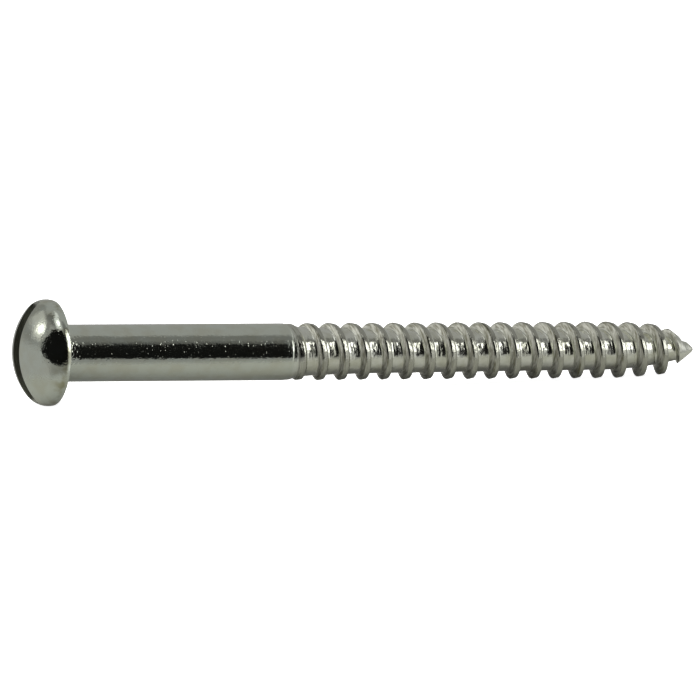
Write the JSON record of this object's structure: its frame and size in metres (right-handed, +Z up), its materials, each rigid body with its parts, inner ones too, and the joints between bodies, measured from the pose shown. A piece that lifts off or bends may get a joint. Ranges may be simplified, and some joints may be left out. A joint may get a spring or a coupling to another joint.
{
  "type": "round head wood screw",
  "caption": "Slotted round head wood screw with a plain shank, a coarse right-hand thread and a sharp gimlet point, lying on its side.",
  "frame": {"origin": "centre of the head's bearing face, on the screw's axis", "axes": "+X along the screw towards its point, seen from above, +Z up; the axis dips 2.27 degrees towards the point, because the screw lies on the rim of its head and on one thread crest"},
  "size_m": [0.0531, 0.0076, 0.0076],
  "materials": {
    "plated_steel": "bright zinc plate, worn and lightly pitted"
  },
  "bodies": {
    "root": {"wood_screw": "plated_steel"}
  },
  "joints": []
}
